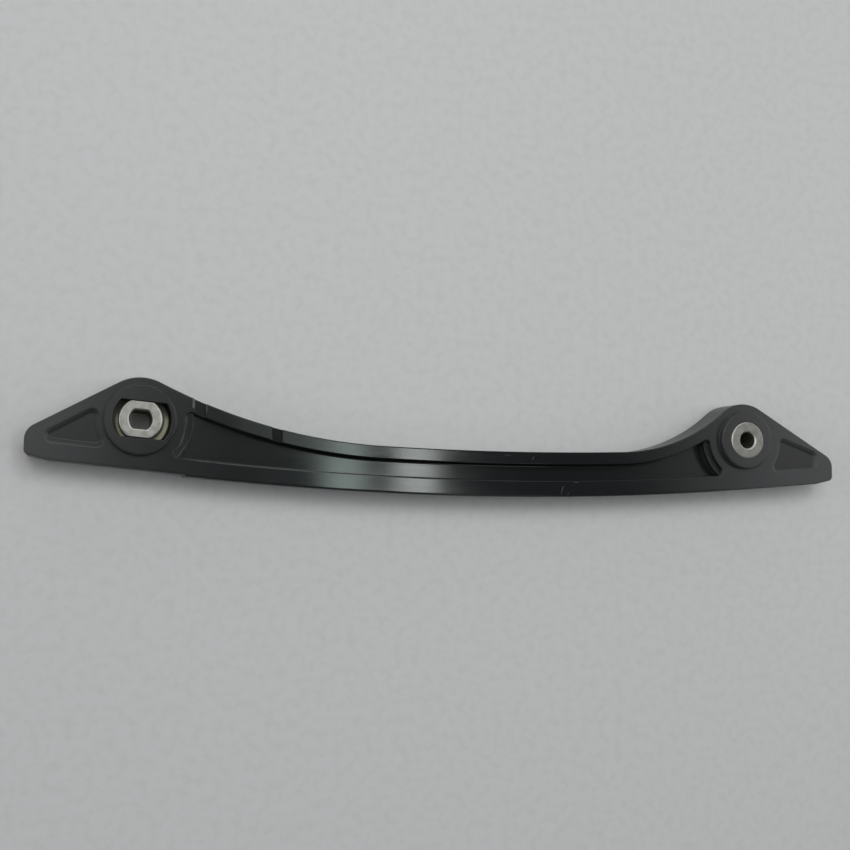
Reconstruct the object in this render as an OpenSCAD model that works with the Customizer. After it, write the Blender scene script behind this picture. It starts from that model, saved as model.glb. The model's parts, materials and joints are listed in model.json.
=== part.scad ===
// Bow-shaped timing chain guide: one moulded rail that hangs on two steel bolt bushes.
// The origin is the round bolt's axis on the back face, +X runs along the bolt line, +Z along the bolts.

/* [Bolts] */
// Distance between the two bolt axes
bolt_span = 250; // [230:1:280]
// Radius of the round bush's bolt hole
bolt_hole_r = 3.5; // [3:0.1:4.2]

/* [Rail] */
// Depth of the rail, which is the width of the running face
rail_depth = 14; // [12:0.5:20]
// Height of the section between the heads
rail_height = 18; // [16:0.5:20]
// Radius of the running face
running_r = 1350; // [1000:10:2500]
// Drop of the running face's lowest line below the bolt line
crown_drop = 25.6; // [24:0.1:28]
// Shift of that lowest line from the middle of the bolt span towards the round bolt
crown_shift = 12; // [0:1:25]
// Distance of the running face's first edge from the slide bolt
running_start = 16.5; // [8:0.5:24]
// Height by which the running face stands proud of the slide head's foot
running_proud = 0.7; // [0.3:0.1:1.2]
// Thickness of the flange on the concave side
upper_flange = 5; // [3:0.25:6]
// Thickness of the flange behind the running face
lower_flange = 6.5; // [4:0.25:7]
// Thickness of the web between the flanges
web_t = 4; // [2.5:0.25:6]

/* [Heads] */
// Radius of each head around its bolt
head_r = 15.5; // [15:0.25:17]
// Radius of the long shoulder beside the slide bolt
slide_shoulder_r = 208; // [150:2:260]
// Radius of the short shoulder beside the round bolt
round_shoulder_r = 76; // [50:2:110]
// Slope of each head's outer edge
tip_slope = 29.5; // [26:0.5:33]
// Reach of the tip beyond the slide bolt
slide_reach = 39.5; // [36:0.5:46]
// Reach of the tip beyond the round bolt
round_reach = 44; // [38:0.5:48]
// Radius of the tip's upper corner
tip_upper_r = 6; // [2:0.5:8]
// Radius of the tip's lower corner
tip_lower_r = 2; // [1:0.25:3]
// Length of the raised toe under the tip
toe_length = 8; // [5:0.5:10]
// Rise of the toe against the foot's line
toe_rise = 8.5; // [4:0.5:12]
// Radius where the toe leaves the foot's line
toe_r = 16; // [5:1:25]

/* [Bosses] */
// Diameter of the boss round the slide bolt
slide_boss_d = 26; // [24.5:0.5:28]
// Diameter of the boss round the round bolt
round_boss_d = 24.25; // [20:0.25:27]
// Height of each boss above the rail's face
boss_rise = 2.5; // [1:0.25:4]
// Chamfer round the boss's face
boss_chamfer = 0.4; // [0.2:0.1:1]

/* [Web pockets] */
// Radius of the web pockets' ends about the bolts
web_end_r = 16.25; // [15.5:0.25:18]
// Corner radius of the web pockets
web_corner_r = 2; // [1:0.25:2.5]
// Width of the groove along each end
groove_w = 2; // [1:0.25:2.5]
// Depth of that groove below the rail's face
groove_depth = 1.8; // [1.3:0.1:3]
// Thickness of the rib between the groove and the web
rib_t = 1; // [0.8:0.1:1.6]
// Drop of the rib's crest below the rail's face
rib_drop = 1; // [0.5:0.1:1.2]

/* [Head pockets] */
// Depth of the pockets in the heads
head_pocket_depth = 1.2; // [0.5:0.1:3]
// Run of their leaning walls
head_pocket_lean = 1; // [0.3:0.1:1.4]
// Corner radius on their floors
head_corner_r = 1.4; // [0.8:0.1:2]
// Margin of their floors to the foot
head_pocket_foot = 7.5; // [6.5:0.1:9]
// Slope of the upper edge of the slide head's pocket
slide_pocket_slope = 29.5; // [27:0.5:33]
// Distance of that edge from the slide bolt
slide_pocket_d = 10.6; // [9:0.1:12]
// Reach of the slide head's pocket beyond the bolt
slide_pocket_reach = 31.6; // [28:0.2:36]
// Radius of the slide head's pocket about the bolt
slide_pocket_r = 15.5; // [15:0.25:18]
// Slope of the upper edge of the round head's pocket
round_pocket_slope = 19; // [15:0.5:30]
// Distance of that edge from the round bolt
round_pocket_d = 6.6; // [5:0.1:8]
// Reach of the round head's pocket beyond the bolt
round_pocket_reach = 35; // [31:0.2:39]
// Radius of the round head's pocket about the bolt
round_pocket_r = 18.2; // [15:0.2:21]

/* [Flange notches] */
// Distance of the first notch from the slide bolt
first_notch_x = 21.4; // [20.5:0.1:26]
// Width of the first notch
first_notch_w = 4; // [2:0.25:6]
// Depth of the first notch
first_notch_depth = 1.6; // [0.5:0.1:3]
// Distance of the second notch from the slide bolt
second_notch_x = 50; // [36:0.5:70]
// Width of the second notch
second_notch_w = 4; // [2:0.25:6]
// Depth of the second notch
second_notch_depth = 1.6; // [0.5:0.1:3]

/* [Bushes] */
// Outer diameter of both bushes
bush_d = 15.4; // [13.4:0.2:16]
// Height by which each bush stands proud of its boss
bush_proud = 0.3; // [0.1:0.1:1]
// Width across the slide bush's two flats
bush_flats = 13; // [11:0.25:13]
// Chamfer on the bushes' outer edges
bush_chamfer = 0.4; // [0.2:0.1:0.8]
// Chamfer at the front mouth of the round bush's bolt hole
hole_chamfer = 0.6; // [0.3:0.1:1]
// Chamfer at the front mouth of the slide bush's bolt hole
slide_hole_chamfer = 0.4; // [0.2:0.1:0.8]
// Length of the slide bush's bolt hole along the bolt line
slide_hole_l = 8.2; // [7.5:0.1:9]
// Width of the slide bush's bolt hole
slide_hole_w = 6.7; // [6:0.1:7]
// Diameter of the slide bush's shoulder
shoulder_d = 21; // [18:0.25:22]
// Thickness of the boss's lip over that shoulder
lip_t = 5.5; // [3:0.25:9]
// Turn of the slot against the bolt line
slot_tilt = 4.3; // [0:0.1:6]
// Shift of the slot's middle from the slide bolt
slot_shift = 0.6; // [0:0.1:1]
// Travel of the slide bush to either side of the slot's middle
slide_travel = 2.5; // [1:0.1:2.6]
// Clearance between the slide bush and the faces that guide it
slide_clearance = 0.15; // [0.05:0.05:0.3]
// Room left at the ends of the slide bush's travel
end_clearance = 0.2; // [0.1:0.05:0.3]

/* [Hidden] */
$fn = 96;
moulding_black = "#232528";
bush_steel = "#b3aea4";
// Largest gap between an arc and the chords that stand for it
arc_error = 0.008;
// Overlap of joined solids and overshoot of cuts
overshoot = 1;

slide_bolt = [-bolt_span, 0];
round_bolt = [0, 0];
boss_top = rail_depth + boss_rise;
bush_top = boss_top + bush_proud;
pocket_depth = (rail_depth - web_t) / 2;
crown_offset = bolt_span / 2 - crown_shift;
bow_centre = [-crown_offset, running_r - crown_drop];
upper_r = running_r - rail_height;
slide_slot_r = bush_d / 2 + slide_travel + end_clearance;
slide_slot_w = bush_flats + 2 * slide_clearance;
recess_r = shoulder_d / 2 + slide_clearance;
recess_shift = slide_travel + end_clearance - slide_clearance;
recess_depth = boss_top - lip_t;
shoulder_h = recess_depth - slide_clearance;

// Plane geometry
function unit(v) = v / norm(v);
function heading(v) = atan2(v[1], v[0]);
function on_circle(c, r, a) = c + r * [cos(a), sin(a)];
// Turn from one heading to another, within half a turn
function turn(a, b) = let (d = (b - a) % 360) d > 180 ? d - 360 : d < -180 ? d + 360 : d;
// Number of chords that hold an arc to its error
function chords(r, sweep) = max(2, ceil(abs(sweep) / (2 * acos(1 - min(arc_error / r, 0.5)))));
// The short arc about c between two headings, drawn in from its radius without a change of chords
function short_arc(c, r, a, b, inset = 0) =
    let (sweep = turn(a, b), n = chords(r, sweep))
    [for (i = [0:n]) on_circle(c, r - inset, a + sweep * i / n)];
// Where two circles meet, on the left of the line from the first centre to the second
function circles_meet(c1, r1, c2, r2) =
    let (d = norm(c2 - c1), u = (c2 - c1) / d, along = (r1 * r1 - r2 * r2 + d * d) / (2 * d))
    c1 + along * u + sqrt(r1 * r1 - along * along) * [-u[1], u[0]];
// Rounded corner v between its neighbours p and n
function corner(p, v, n, r) =
    let (u = unit(p - v), w = unit(n - v), half = acos(u * w) / 2, c = v + unit(u + w) * r / sin(half))
    short_arc(c, r, heading(v + u * r / tan(half) - c), heading(v + w * r / tan(half) - c));
function reversed(points) = [for (i = [len(points) - 1:-1:0]) points[i]];
// A closed outline from stretches that share their end points
function closed(points) =
    let (n = len(points))
    [for (i = [0:n - 1]) if (norm(points[i] - points[(i + 1) % n]) > arc_error) points[i]];
// From a head's own coordinates, with the tip along +x, to the slide head's place
function slide_side(points) = [for (p = points) slide_bolt + [-p[0], p[1]]];

// Shoulder centres: each shoulder touches its head and the rail's concave edge
slide_shoulder = circles_meet(bow_centre, upper_r - slide_shoulder_r, slide_bolt, head_r + slide_shoulder_r);
round_shoulder = circles_meet(round_bolt, head_r + round_shoulder_r, bow_centre, upper_r - round_shoulder_r);

// Ends of the running face, as turns about the bow's centre
slide_run_turn = asin((running_start - bolt_span + crown_offset) / running_r);
round_run_turn = asin(crown_offset / running_r);
slide_run_end = on_circle(bow_centre, running_r, slide_run_turn - 90);
round_run_end = on_circle(bow_centre, running_r, round_run_turn - 90);

// Foot of each head in the head's own coordinates: where it starts, and how it climbs to the tip
slide_foot = [-running_start, slide_run_end[1] + running_proud];
slide_climb = -slide_run_turn;
round_foot = round_run_end - round_bolt;
round_climb = round_run_turn;

// A head's edge from its foot round the tip to the top of the sloping edge
function tip_path(reach, foot, climb) =
    let (
        toe = [reach - toe_length, foot[1] + (reach - toe_length - foot[0]) * tan(climb)],
        lower = [reach, toe[1] + toe_length * tan(climb + toe_rise)],
        upper = [reach, (head_r - reach * sin(tip_slope)) / cos(tip_slope)],
        shoulder = head_r * [sin(tip_slope), cos(tip_slope)]
    )
    concat(
        corner(foot, toe, lower, toe_r),
        corner(toe, lower, upper, tip_lower_r),
        corner(lower, upper, shoulder, tip_upper_r)
    );

function rail_outline() =
    let (
        round_top = heading(round_shoulder - round_bolt),
        slide_top = heading(slide_shoulder - slide_bolt),
        round_join = heading(round_shoulder - bow_centre),
        slide_join = heading(slide_shoulder - bow_centre)
    )
    concat(
        short_arc(bow_centre, running_r, slide_run_turn - 90, round_run_turn - 90),
        tip_path(round_reach, round_foot, round_climb),
        short_arc(round_bolt, head_r, 90 - tip_slope, round_top),
        short_arc(round_shoulder, round_shoulder_r, round_top + 180, round_join),
        short_arc(bow_centre, upper_r, round_join, slide_join),
        short_arc(slide_shoulder, slide_shoulder_r, slide_join, slide_top + 180),
        short_arc(slide_bolt, head_r, slide_top, 90 + tip_slope),
        reversed(slide_side(tip_path(slide_reach, slide_foot, slide_climb))),
        [slide_bolt + [running_start, slide_foot[1]]]
    );

// The web pocket: between the flanges, and round the boss walls at both ends
function web_outline() =
    let (
        r = web_corner_r,
        end_r = web_end_r + r,
        floor_r = running_r - lower_flange,
        round_edge_r = round_shoulder_r + upper_flange,
        slide_edge_r = slide_shoulder_r + upper_flange,
        round_low = circles_meet(round_bolt, end_r, bow_centre, floor_r - r),
        round_high = circles_meet(round_bolt, end_r, round_shoulder, round_edge_r + r),
        slide_high = circles_meet(slide_shoulder, slide_edge_r + r, slide_bolt, end_r),
        slide_low = circles_meet(bow_centre, floor_r - r, slide_bolt, end_r),
        round_join = heading(round_shoulder - bow_centre),
        slide_join = heading(slide_shoulder - bow_centre)
    )
    concat(
        short_arc(round_low, r, heading(round_low - bow_centre), heading(round_bolt - round_low)),
        short_arc(
            round_bolt, web_end_r,
            heading(round_low - round_bolt), heading(round_high - round_bolt)
        ),
        short_arc(round_high, r, heading(round_bolt - round_high), heading(round_shoulder - round_high)),
        short_arc(round_shoulder, round_edge_r, heading(round_high - round_shoulder), round_join),
        short_arc(bow_centre, upper_r + upper_flange, round_join, slide_join),
        short_arc(slide_shoulder, slide_edge_r, slide_join, heading(slide_high - slide_shoulder)),
        short_arc(slide_high, r, heading(slide_shoulder - slide_high), heading(slide_bolt - slide_high)),
        short_arc(
            slide_bolt, web_end_r,
            heading(slide_high - slide_bolt), heading(slide_low - slide_bolt)
        ),
        short_arc(slide_low, r, heading(slide_bolt - slide_low), heading(slide_low - bow_centre)),
        short_arc(bow_centre, floor_r, heading(slide_low - bow_centre), heading(round_low - bow_centre))
    );

// Centre of a corner between a pocket's end about the bolt and an edge with outward normal n, d from the bolt
function end_corner(end_r, n, d, r) =
    let (along = sqrt(pow(end_r + r, 2) - pow(d - r, 2)), side = [abs(n[1]), n[1] > 0 ? -n[0] : n[0]])
    n * (d - r) + along * side;

// The floor of a head's pocket, drawn out towards its rim, in the head's own coordinates
function head_outline(slope, slope_d, reach, end_r, foot, climb, outset) =
    let (
        r = head_corner_r,
        slope_n = [sin(slope), cos(slope)],
        foot_n = [sin(climb), -cos(climb)],
        foot_d = foot * foot_n - head_pocket_foot,
        high = end_corner(end_r, slope_n, slope_d, r),
        low = end_corner(end_r, foot_n, foot_d, r),
        cross_turn = slope_n[0] * foot_n[1] - slope_n[1] * foot_n[0],
        meeting_x = ((slope_d - r) * foot_n[1] - (foot_d - r) * slope_n[1]) / cross_turn,
        tip_x = min(reach - r, meeting_x),
        tip_high = [tip_x, (slope_d - r - tip_x * slope_n[0]) / slope_n[1]],
        tip_low = [tip_x, (foot_d - r - tip_x * foot_n[0]) / foot_n[1]]
    )
    concat(
        short_arc(tip_low, r, heading(foot_n), 0, -outset),
        short_arc(tip_high, r, 0, heading(slope_n), -outset),
        short_arc(high, r, heading(slope_n), heading(-high), -outset),
        short_arc([0, 0], end_r, heading(high), heading(low), outset),
        short_arc(low, r, heading(-low), heading(foot_n), -outset)
    );

function slide_pocket(outset) =
    head_outline(
        slide_pocket_slope, slide_pocket_d, slide_pocket_reach, slide_pocket_r,
        slide_foot, slide_climb, outset
    );

function round_pocket(outset) =
    head_outline(
        round_pocket_slope, round_pocket_d, round_pocket_reach, round_pocket_r,
        round_foot, round_climb, outset
    );

module at(bolt) {
    translate([bolt[0], bolt[1], 0]) children();
}

// A raised boss with its chamfered face, rooted in the rail
module boss(d) {
    r = d / 2;
    translate([0, 0, rail_depth - overshoot]) cylinder(h = overshoot + boss_rise - boss_chamfer, r = r);
    translate([0, 0, boss_top - boss_chamfer]) cylinder(h = boss_chamfer, r1 = r, r2 = r - boss_chamfer);
}

// The rib and the shallow groove at a web pocket's end, standing up from the web
module end_rib() {
    groove_r = web_end_r + groove_w;
    difference() {
        translate([0, 0, -overshoot])
            cylinder(h = overshoot + pocket_depth - rib_drop, r = groove_r + rib_t);
        translate([0, 0, pocket_depth - groove_depth]) cylinder(h = groove_depth, r = groove_r);
    }
}

// What one side of the rail loses to its web pocket, with the web at z = 0
module web_cut() {
    difference() {
        linear_extrude(pocket_depth + overshoot) polygon(closed(web_outline()));
        at(slide_bolt) end_rib();
        at(round_bolt) end_rib();
    }
}

// A cut whose walls lean from a floor at z = 0 to a rim of as many points, both seen whole from their first
module leaning_cut(floor, rim, depth) {
    n = len(floor);
    polyhedron(
        points = [for (p = floor) [p[0], p[1], 0], for (p = rim) [p[0], p[1], depth]],
        faces = [
            [for (i = [0:n - 1]) i],
            [for (i = [0:n - 1]) n + (n - i) % n],
            for (i = [0:n - 1]) let (next = (i + 1) % n) [i, n + i, n + next, next]
        ]
    );
}

// What both heads lose to their pockets on one side, with the pocket floors at z = 0
module head_cuts() {
    past_rim = head_pocket_lean * (1 + overshoot / head_pocket_depth);
    depth = head_pocket_depth + overshoot;
    at(slide_bolt) mirror([1, 0, 0])
        leaning_cut(closed(slide_pocket(0)), closed(slide_pocket(past_rim)), depth);
    at(round_bolt)
        leaning_cut(closed(round_pocket(0)), closed(round_pocket(past_rim)), depth);
}

// All pockets of the front
module side_cuts() {
    translate([0, 0, rail_depth - pocket_depth]) web_cut();
    translate([0, 0, rail_depth - head_pocket_depth]) head_cuts();
}

// A notch across the upper flange at a distance from the slide bolt
module flange_notch(distance, width, depth) {
    x = slide_bolt[0] + distance;
    reach = slide_shoulder_r + upper_flange + overshoot;
    bottom = slide_shoulder[1] - sqrt(pow(reach, 2) - pow(x - slide_shoulder[0], 2));
    translate([x - width / 2, bottom, rail_depth - depth]) cube([width, head_r - bottom, depth + overshoot]);
}

// The slot that guides the slide bush's neck, and the longer recess for its shoulder
module slide_opening() {
    translate([0, 0, -overshoot]) linear_extrude(boss_top + 2 * overshoot) intersection() {
        circle(r = slide_slot_r);
        square([3 * slide_slot_r, slide_slot_w], center = true);
    }
    translate([0, 0, -overshoot]) linear_extrude(recess_depth + overshoot) {
        translate([-recess_shift, 0]) circle(r = recess_r);
        translate([recess_shift, 0]) circle(r = recess_r);
        square(2 * [recess_shift, recess_r], center = true);
    }
}

module guide_rail() {
    color(moulding_black) difference() {
        union() {
            linear_extrude(rail_depth) polygon(closed(rail_outline()));
            at(slide_bolt) boss(slide_boss_d);
            at(round_bolt) boss(round_boss_d);
        }
        side_cuts();
        translate([0, 0, rail_depth]) mirror([0, 0, 1]) side_cuts();
        flange_notch(first_notch_x, first_notch_w, first_notch_depth);
        flange_notch(second_notch_x, second_notch_w, second_notch_depth);
        at(slide_bolt) rotate(-slot_tilt) translate([slot_shift, 0, 0]) slide_opening();
        at(round_bolt) translate([0, 0, -overshoot]) cylinder(h = boss_top + 2 * overshoot, r = bush_d / 2);
    }
}

// The slide bush's two-flat bolt hole with its chamfered mouth
module slide_hole() {
    r = slide_hole_l / 2;
    half_w = slide_hole_w / 2;
    rise = slide_hole_chamfer + overshoot;
    translate([0, 0, -overshoot]) linear_extrude(bush_top + 2 * overshoot) intersection() {
        circle(r = r);
        square([3 * r, slide_hole_w], center = true);
    }
    translate([0, 0, bush_top - slide_hole_chamfer]) intersection() {
        cylinder(h = rise, r1 = r, r2 = r + rise);
        rotate([90, 0, 90]) linear_extrude(6 * r, center = true)
            polygon([[-half_w, 0], [half_w, 0], [half_w + rise, rise], [-half_w - rise, rise]]);
    }
}

// The loose bush: a two-flat neck on a round shoulder, with a two-flat bolt hole
module slide_bush() {
    neck_r = bush_d / 2;
    shoulder_r = shoulder_d / 2;
    color(bush_steel) at(slide_bolt) rotate(-slot_tilt) difference() {
        union() {
            rotate_extrude() polygon([
                [0, 0], [shoulder_r - bush_chamfer, 0], [shoulder_r, bush_chamfer],
                [shoulder_r, shoulder_h - bush_chamfer], [shoulder_r - bush_chamfer, shoulder_h],
                [0, shoulder_h]
            ]);
            intersection() {
                rotate_extrude() polygon([
                    [0, shoulder_h - bush_chamfer], [neck_r, shoulder_h - bush_chamfer],
                    [neck_r, bush_top - bush_chamfer], [neck_r - bush_chamfer, bush_top], [0, bush_top]
                ]);
                translate([-bush_d, -bush_flats / 2, 0]) cube([2 * bush_d, bush_flats, 2 * bush_top]);
            }
        }
        slide_hole();
    }
}

// The moulded-in bush: a plain sleeve with its bolt hole chamfered at the front
module round_bush() {
    outer_r = bush_d / 2;
    color(bush_steel) at(round_bolt) rotate_extrude() polygon([
        [bolt_hole_r, 0], [outer_r - bush_chamfer, 0], [outer_r, bush_chamfer],
        [outer_r, bush_top - bush_chamfer], [outer_r - bush_chamfer, bush_top],
        [bolt_hole_r + hole_chamfer, bush_top], [bolt_hole_r, bush_top - hole_chamfer]
    ]);
}

guide_rail();
slide_bush();
round_bush();
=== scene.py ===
"""Timing chain guide: the finish of a black moulded bow and its two steel bolt bushes."""
import json
import logging
import math
from dataclasses import dataclass, field
from enum import Enum
from typing import Any, Iterable

import bmesh
import bpy
from mathutils import Matrix, Vector

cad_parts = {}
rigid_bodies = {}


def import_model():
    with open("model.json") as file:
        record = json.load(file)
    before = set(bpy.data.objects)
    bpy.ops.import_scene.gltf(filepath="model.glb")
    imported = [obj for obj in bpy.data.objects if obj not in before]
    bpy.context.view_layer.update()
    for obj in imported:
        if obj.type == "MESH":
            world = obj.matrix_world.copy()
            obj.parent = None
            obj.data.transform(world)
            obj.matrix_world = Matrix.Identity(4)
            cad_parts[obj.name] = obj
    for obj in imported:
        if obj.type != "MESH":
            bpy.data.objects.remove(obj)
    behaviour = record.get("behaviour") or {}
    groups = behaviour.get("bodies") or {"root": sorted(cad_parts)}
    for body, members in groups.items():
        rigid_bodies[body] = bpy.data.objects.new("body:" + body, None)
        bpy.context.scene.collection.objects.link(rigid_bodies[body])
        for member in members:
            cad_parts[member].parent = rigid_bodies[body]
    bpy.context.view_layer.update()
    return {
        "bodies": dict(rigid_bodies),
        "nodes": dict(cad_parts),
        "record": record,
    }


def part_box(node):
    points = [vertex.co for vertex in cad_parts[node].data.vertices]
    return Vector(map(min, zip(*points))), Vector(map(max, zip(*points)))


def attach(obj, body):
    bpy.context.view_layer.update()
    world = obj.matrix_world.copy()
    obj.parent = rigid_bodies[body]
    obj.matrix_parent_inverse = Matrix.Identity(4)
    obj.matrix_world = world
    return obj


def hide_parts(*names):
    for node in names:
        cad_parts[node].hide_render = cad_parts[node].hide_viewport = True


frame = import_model()

log = logging.getLogger("chain_guide")

MM = 0.001
IMAGE_PX = 850
BEVEL_WEIGHT = "bevel_weight_edge"

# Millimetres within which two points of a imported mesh, or of a turned one, are the same
SAME_POINT = 0.05
SAME_TURNED_POINT = 0.005
# Degrees within which two faces make one flat face
FLAT_ANGLE = 0.05
# Upright part of a normal from which a face counts as level
LEVEL = 0.99999
# How far large faces rule the shading of their corners, from 1 to 100
AREA_WEIGHT = 100
# Mean of a noise from 0 to 1
MEAN_NOISE = 0.5

Triple = tuple[float, float, float]
Pair = tuple[float, float]


def metres(point: Iterable[float]) -> Vector:
    """A point or size in millimetres as a vector in metres."""
    return Vector(point) * MM


def mount(name: str) -> dict[str, Any]:
    """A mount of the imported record, by its name."""
    return next(item for item in frame["record"]["mounts"] if item["name"] == name)


ROUND_BOLT = Vector(mount("round_bolt")["pos_m"])
SLIDE_BOLT = Vector(mount("slide_bolt")["pos_m"])
RUNNING_FACE = Vector(mount("running_face")["pos_m"])
BOLT_HOLE_R = mount("round_bolt")["dims"]["r_mm"] * MM
RAIL_DEPTH = 2 * RUNNING_FACE.z


class EdgeKind(Enum):
    """What an edge of the moulding is, for the rounding that it gets."""

    PLAIN = "plain"
    UPRIGHT = "upright"
    RIB = "rib"
    BOSS = "boss"
    BOSS_FOOT = "boss foot"
    FACE_RIM = "face rim"
    RUNNING_RIM = "running rim"
    WEB_RIM = "web rim"
    NOTCH = "notch"
    FOOT = "foot"
    WEB_FOOT = "web foot"
    POCKET_FOOT = "pocket foot"


class Value:
    """A node's socket that takes part in Python expressions."""

    def __init__(self, nodes: "Nodes", socket: bpy.types.NodeSocket) -> None:
        """Keeps the socket and the tree that it belongs to."""
        self.nodes = nodes
        self.socket = socket

    def _math(self, operation: str, first: Any, second: Any) -> "Value":
        """Adds one Math node and returns its result."""
        return self.nodes.node("ShaderNodeMath", {"operation": operation}, {0: first, 1: second})

    def __add__(self, other: Any) -> "Value":
        """Sum."""
        return self._math("ADD", self, other)

    def __radd__(self, other: Any) -> "Value":
        """Sum with a number on the left."""
        return self._math("ADD", other, self)

    def __sub__(self, other: Any) -> "Value":
        """Difference."""
        return self._math("SUBTRACT", self, other)

    def __rsub__(self, other: Any) -> "Value":
        """Difference from a number on the left."""
        return self._math("SUBTRACT", other, self)

    def __mul__(self, other: Any) -> "Value":
        """Product."""
        return self._math("MULTIPLY", self, other)

    def __rmul__(self, other: Any) -> "Value":
        """Product with a number on the left."""
        return self._math("MULTIPLY", other, self)

    def __truediv__(self, other: Any) -> "Value":
        """Quotient."""
        return self._math("DIVIDE", self, other)

    def __rtruediv__(self, other: Any) -> "Value":
        """Quotient of a number on the left."""
        return self._math("DIVIDE", other, self)

    def larger(self, other: Any) -> "Value":
        """The larger of two values."""
        return self._math("MAXIMUM", self, other)

    def magnitude(self) -> "Value":
        """The value without its sign."""
        return self._math("ABSOLUTE", self, 0.0)


class Nodes:
    """A node tree that grows by expressions."""

    def __init__(self, tree: bpy.types.NodeTree) -> None:
        """Keeps the tree."""
        self.tree = tree

    def node(self, kind: str, settings: dict[str, Any], sockets: dict[Any, Any], output: Any = 0) -> Value:
        """Adds a node.

        Args:
            kind: The node's type.
            settings: Properties that are set before its sockets.
            sockets: A number, colour or Value for each socket, by name or index.
            output: The name or index of the socket to return.

        Returns:
            The chosen output as a Value.
        """
        made = self.tree.nodes.new(kind)
        for name, value in settings.items():
            setattr(made, name, value)
        for key, value in sockets.items():
            self.feed(made.inputs[key], value)
        return Value(self, made.outputs[output])

    def feed(self, socket: bpy.types.NodeSocket, value: Any) -> None:
        """Links a Value to a socket, or sets a plain number or colour on it.

        Args:
            socket: The socket.
            value: The Value, number or colour.
        """
        if isinstance(value, Value):
            self.tree.links.new(value.socket, socket)
        else:
            socket.default_value = value

    def point(self, x: Any, y: Any, z: Any) -> Value:
        """A point from three coordinates."""
        return self.node("ShaderNodeCombineXYZ", {}, {0: x, 1: y, 2: z})


class Graph(Nodes):
    """A material's nodes about one principled surface."""

    def __init__(self, material: bpy.types.Material) -> None:
        """Empties the material's tree and gives it a principled surface.

        Args:
            material: The material to build.
        """
        material.use_nodes = True
        super().__init__(material.node_tree)
        self.tree.nodes.clear()
        self.surface = self.tree.nodes.new("ShaderNodeBsdfPrincipled")
        output = self.tree.nodes.new("ShaderNodeOutputMaterial")
        self.tree.links.new(self.surface.outputs["BSDF"], output.inputs["Surface"])

    def set(self, **inputs: Any) -> None:
        """Sets the surface's sockets, named with underscores for spaces."""
        for name, value in inputs.items():
            self.feed(self.surface.inputs[name.replace("_", " ").title()], value)

    def place(self) -> Value:
        """Object coordinates, in metres of the part's own frame."""
        return self.node("ShaderNodeTexCoord", {}, {}, "Object")

    def axes(self, point: Value) -> tuple[Value, Value, Value]:
        """A point's three coordinates.

        Args:
            point: The point.

        Returns:
            Its X, Y and Z.
        """
        split = self.node("ShaderNodeSeparateXYZ", {}, {0: point})
        outputs = split.socket.node.outputs
        return split, Value(self, outputs[1]), Value(self, outputs[2])

    def slope(self) -> Value:
        """1 on level faces and 0 on upright ones."""
        return self.axes(self.node("ShaderNodeNewGeometry", {}, {}, "Normal"))[2].magnitude()

    def distance(self, point: Value, other: Triple) -> Value:
        """Distance of a point from a fixed one."""
        return self.node("ShaderNodeVectorMath", {"operation": "DISTANCE"}, {0: point, 1: other}, "Value")

    def noise(self, point: Value, scale: float, detail: float = 2.0) -> Value:
        """Noise from 0 to 1 with features of about 1 / scale.

        Args:
            point: Where it is read.
            scale: Features per unit.
            detail: Octaves of finer noise.

        Returns:
            The noise.
        """
        sockets = {"Vector": point, "Scale": scale, "Detail": detail}
        return self.node("ShaderNodeTexNoise", {}, sockets, "Fac")

    def ease(self, value: Value, start: float, end: float, low: float = 0.0, high: float = 1.0) -> Value:
        """Goes smoothly from low to high as a value goes from start to end.

        Args:
            value: What it follows.
            start: Where the change starts.
            end: Where it ends.
            low: The result up to start.
            high: The result past end.

        Returns:
            The eased value.
        """
        sockets = {"Value": value, "From Min": start, "From Max": end, "To Min": low, "To Max": high}
        return self.node("ShaderNodeMapRange", {"interpolation_type": "SMOOTHSTEP"}, sockets)

    def fade(self, value: Value, start: float, end: float) -> Value:
        """Goes smoothly from 1 to 0 as a value goes from start to end."""
        return self.ease(value, start, end, 1.0, 0.0)

    def tint(self, share: Value, first: Any, second: Any) -> Value:
        """A colour between two others, each a Value or three numbers."""
        ends = [colour if isinstance(colour, Value) else (*colour, 1.0) for colour in (first, second)]
        return self.node("ShaderNodeMix", {"data_type": "RGBA"}, {0: share, 6: ends[0], 7: ends[1]}, 2)

    def bump(self, height: Value, depth: float) -> Value:
        """A normal bumped by a height from 0 to 1, where 1 stands for a depth in metres."""
        return self.node("ShaderNodeBump", {}, {"Height": height, "Distance": depth, "Strength": 1.0})


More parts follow.
